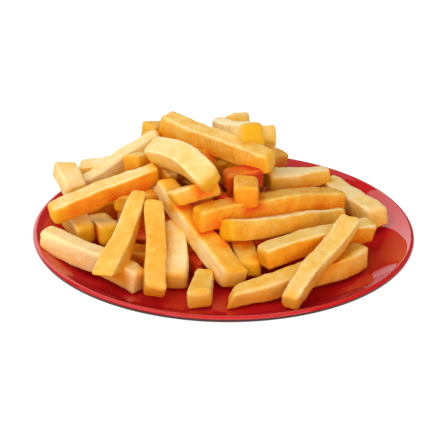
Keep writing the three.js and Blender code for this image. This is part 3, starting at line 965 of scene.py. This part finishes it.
# %% [markdown]
# ## Making the fries
# Each kind is one piece. Its points carry one fry's numbers each, as named attributes, and the
# tree turns every point into a fry. The result becomes a plain mesh, and whatever the
# uneven skin has pushed into the plate is lifted out. Last, each point is told how much the
# other fries shelter it, for the painted shade in the gaps.

# %% Numbers of every fry
CUT_UNEVEN = 9
SECTION_UNEVEN = (0.07, 0.12, 14)  # breadth to depth, lean of the sides, twist in degrees
LOOK_SEED = 11

draws = numbers(LOOK_SEED)
slants = np.hstack([column("cut"), column("pitch")])
slants += np.array([[about(CUT_UNEVEN) for _ in range(4)] for _ in fries])
uneven = np.array([[about(most) for most in SECTION_UNEVEN] for _ in fries]) + (1, 0, 0)

along_all, left_all, up_all = directions(starts, ends)
turns = np.radians(roll)[:, None]
high_all = up_all * np.cos(turns) + left_all * np.sin(turns)
side_all = np.cross(along_all, high_all)
bends_all = bends(starts, ends)


def fry_points(name, chosen):
    """A mesh of loose points, all at the origin, with one fry's numbers on each."""
    mesh = bpy.data.meshes.new(name)
    mesh.from_pydata([(0, 0, 0)] * len(chosen), [], [])
    ratio, lean, twist = uneven.T
    values = {
        "start": starts * MM,
        "end": ends * MM,
        "bend": bends_all * MM,
        "crown": high_all,
        "thickness": np.pad(thick, ((0, 0), (0, 1))) * MM,
        "slants": np.pad(np.tan(np.radians(slants[:, :2])), ((0, 0), (0, 1))),
        "pitches": np.pad(np.tan(np.radians(slants[:, 2:])), ((0, 0), (0, 1))),
        "section": np.stack((ratio, lean, np.radians(twist)), axis=1),
    }
    for key, value in values.items():
        attribute = mesh.attributes.new(key, "FLOAT_VECTOR", "POINT")
        attribute.data.foreach_set("vector", value[chosen].astype(np.float32).ravel())
    for key, value in zip(("brown_and_light_above", "brown_and_shade_beside", "yellow_ends"), tone.T):
        attribute = mesh.attributes.new(key, "FLOAT", "POINT")
        attribute.data.foreach_set("value", value[chosen].astype(np.float32))
    return mesh


print(f"the ends are cut up to {np.abs(slants).max():.0f} degrees off square")

# %% Clear of the plate
PLATE_GAP = 0.15


def vertex_places(mesh):
    """The places of a mesh's vertices, in mm."""
    points = np.zeros(len(mesh.vertices) * 3, np.float32)
    mesh.vertices.foreach_get("co", points)
    return points.reshape(-1, 3) / MM


def lift_off_plate(mesh):
    points = vertex_places(mesh)
    lowest = plate_top(np.hypot(points[:, 0], points[:, 1])) + PLATE_GAP
    points[:, 2] = np.maximum(points[:, 2], lowest)
    mesh.vertices.foreach_set("co", (points * MM).ravel())
    mesh.update()


print("the fries stay", PLATE_GAP, "mm above the plate")

# %% Crevices between the fries
# The shelter becomes painted shade: the crust is a deeper orange where other fries lie close over
# it.
CREVICE_WIDTH = 6
CREVICE_FADE = 1.6
LEAST_SHELTER = 0.1


def shelter_of_fry(points, i):
    """From 1, right under fry number i, to 0, a crevice's width away from its skin."""
    from_start = points - starts[i]
    length = np.linalg.norm(ends[i] - starts[i])
    t = np.clip(from_start @ along_all[i] / length, 0, 1)[:, None]
    straight = along_all[i] * length * t
    off = from_start - straight - bends_all[i] * (4 * t * (1 - t))
    outside = [np.abs(off @ axis) - size[i] / 2 for axis in (side_all[i], high_all[i])]
    outside.append(np.abs(off @ along_all[i]))
    distance = np.linalg.norm(np.maximum(outside, 0), axis=0)
    below = np.clip(0.5 - off[:, 2] / size[i], LEAST_SHELTER, 1)
    return np.clip(1 - distance / CREVICE_WIDTH, 0, 1) ** CREVICE_FADE * below


def boxes_of_fries(room):
    """The lowest and highest corners of a box round each fry, with some room left about it."""
    around = np.abs(bends_all) + size[:, None] + room
    return np.minimum(starts, ends) - around, np.maximum(starts, ends) + around


def mark_crevices(mesh, chosen):
    """Writes on each vertex how much other fries shelter it, which the crust shows as painted
    shade.
    """
    groups = vertex_places(mesh).reshape(len(chosen), -1, 3)
    lowest, highest = boxes_of_fries(CREVICE_WIDTH)
    depth = np.zeros(groups.shape[:2], np.float32)
    for row, (i, points) in enumerate(zip(chosen, groups)):
        apart = (highest < points.min(axis=0)) | (lowest > points.max(axis=0))
        for j in np.flatnonzero(~apart.any(axis=1)):
            if j != i:
                depth[row] = np.maximum(depth[row], shelter_of_fry(points, j))
    crevice = mesh.attributes.new("crevice", "FLOAT", "POINT")
    crevice.data.foreach_set("value", depth.ravel())


print("a fry shelters what lies within", CREVICE_WIDTH, "mm of it")

# %% Make every kind
PALE_BELOW = 0.36
GOLDEN_BELOW = 0.56


def make_fries(name, chosen, material, skin):
    piece = link_object(name, fry_points(name, chosen))
    maker = piece.modifiers.new("fries", "NODES")
    maker.node_group = bpy.data.node_groups["fry"]
    items = maker.node_group.interface.items_tree
    sockets = {item.name: item.identifier for item in items if item.in_out == "INPUT"}
    for key, value in {**skin, "Skin": material}.items():
        maker[sockets[key]] = value
    made_plain(piece)
    for key in FRY_NUMBERS:
        piece.data.attributes.remove(piece.data.attributes[key])
    lift_off_plate(piece.data)
    mark_crevices(piece.data, chosen)
    return piece


def kind_of(fry):
    if "kind" in fry:
        return fry["kind"]
    browning = sum(fry["tone"][:2]) / 2
    if browning < PALE_BELOW:
        return "fries_pale"
    return "fries_golden" if browning < GOLDEN_BELOW else "fries_toasted"


kinds = np.array([kind_of(fry) for fry in fries])
pieces = []
for name, (roughness, grain_depth, skin) in KINDS.items():
    chosen = np.flatnonzero(kinds == name)
    material = fried_potato(name.replace("fries", "fried_potato"), roughness, grain_depth * MM)
    pieces.append(make_fries(name, chosen, material, skin))
    print(f"{name}: {len(chosen)} fries, {2 * len(pieces[-1].data.polygons)} triangles")

# %% [markdown]
# ## The inside of the heap
# Between the fries one looks into the heap, where more potato lies in warm shadow. A mound
# stands for it: a dome, turned from a quarter ellipse, with its crust painted in deep shade. It
# is a little narrower than the one in the imported model and 3 mm higher, so that fewer gaps
# between the fries show the plate.

# %% Mound inside the heap
MOUND = {"across": 42, "top": 31, "foot": 5.6, "steps": 16, "sides": 72, "brown": 1.35}


def mound_profile():
    points = [(0, MOUND["foot"])]
    for i in range(MOUND["steps"]):
        a = math.pi / 2 * i / MOUND["steps"]
        height = MOUND["foot"] + (MOUND["top"] - MOUND["foot"]) * math.sin(a)
        points.append((MOUND["across"] * math.cos(a), height))
    return [*points, (0, MOUND["top"])]


inside = turned("potato_mound", mound_profile(), MOUND["sides"])
widen = Matrix.Diagonal((1, HEAP["depth"], 1, 1))
inside.data.transform(Matrix.Translation((HEAP["x"] * MM, HEAP["y"] * MM, 0)) @ widen)
# the mound's crust is painted in deep shade
for key in ("brown_and_light_above", "brown_and_shade_beside"):
    attribute = inside.data.attributes.new(key, "FLOAT", "POINT")
    attribute.data.foreach_set("value", [MOUND["brown"]] * len(inside.data.vertices))
inside.data.materials.append(bpy.data.materials["fried_potato_inside"])
pieces.append(inside)
print("the mound has", len(inside.data.polygons), "faces")

# %% [markdown]
# ## Red glaze
# The plate is glazed: a hard, smooth, deep red body under a glassy coat. That gives the eye
# a saturated red with sharp reflections of the softboxes on its rim. Where the plate faces
# outwards or down its red is painted darker, as shade, which gives the lip its dark line. The
# mesh's own normals tell where that is, and each vertex carries the answer as an attribute.

# %% Material of the plate
GLAZE_REDS = ("BC181B", "CC2023")
GLAZE_CLOUD_LENGTH = 40 * MM
# painted shade on the plate's outer side and under its lip
GLAZE_RED_IN_SHADE = "2C0405"
OUTSIDE_FADE = 1.5


def mark_outside(mesh):
    """Writes 1 where the plate faces outwards or down, for painted shade, fading to 0 where it
    faces up.
    """
    values = [min(max(1 - OUTSIDE_FADE * vertex.normal.z, 0), 1) for vertex in mesh.vertices]
    mesh.attributes.new("outside", "FLOAT", "POINT").data.foreach_set("value", values)


def red_glaze():
    material = bpy.data.materials.new("red_glaze_on_ceramic")
    material.use_nodes = True
    tree = material.node_tree
    shader = tree.nodes["Principled BSDF"]
    place = add(tree, "ShaderNodeTexCoord", out=3)
    cloud = add(tree, "ShaderNodeTexNoise", place, None, 1 / GLAZE_CLOUD_LENGTH, PATTERN_DETAIL)
    deep, bright = (colour(hex_code) for hex_code in GLAZE_REDS)
    mixing = {"Factor_Float": cloud, "A_Color": deep, "B_Color": bright}
    red = add(tree, "ShaderNodeMix", named=mixing, out=2, data_type="RGBA")
    outside = add(tree, "ShaderNodeAttribute", out=2, attribute_name="outside")
    # painted shade where the plate faces outwards or down
    mixing = {"Factor_Float": outside, "A_Color": red, "B_Color": colour(GLAZE_RED_IN_SHADE)}
    red = add(tree, "ShaderNodeMix", named=mixing, out=2, data_type="RGBA")
    tree.links.new(red, shader.inputs["Base Color"])
    shader.inputs["Roughness"].default_value = 0.35
    shader.inputs["Specular IOR Level"].default_value = 0.0
    shader.inputs["Coat Weight"].default_value = 1.0
    shader.inputs["Coat IOR"].default_value = 1.4
    shader.inputs["Coat Roughness"].default_value = 0.04
    return material


mark_outside(plate.data)
plate.data.materials.append(red_glaze())
print("glaze:", plate.data.materials[0].name)

# %% [markdown]
# ## Handing over
# Every piece rides on the one body of the part, and the imported fries and plate are hidden.

# %% Finish
for piece in pieces:
    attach(piece, "root")
    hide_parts("fries")
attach(plate, "root")
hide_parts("plate")
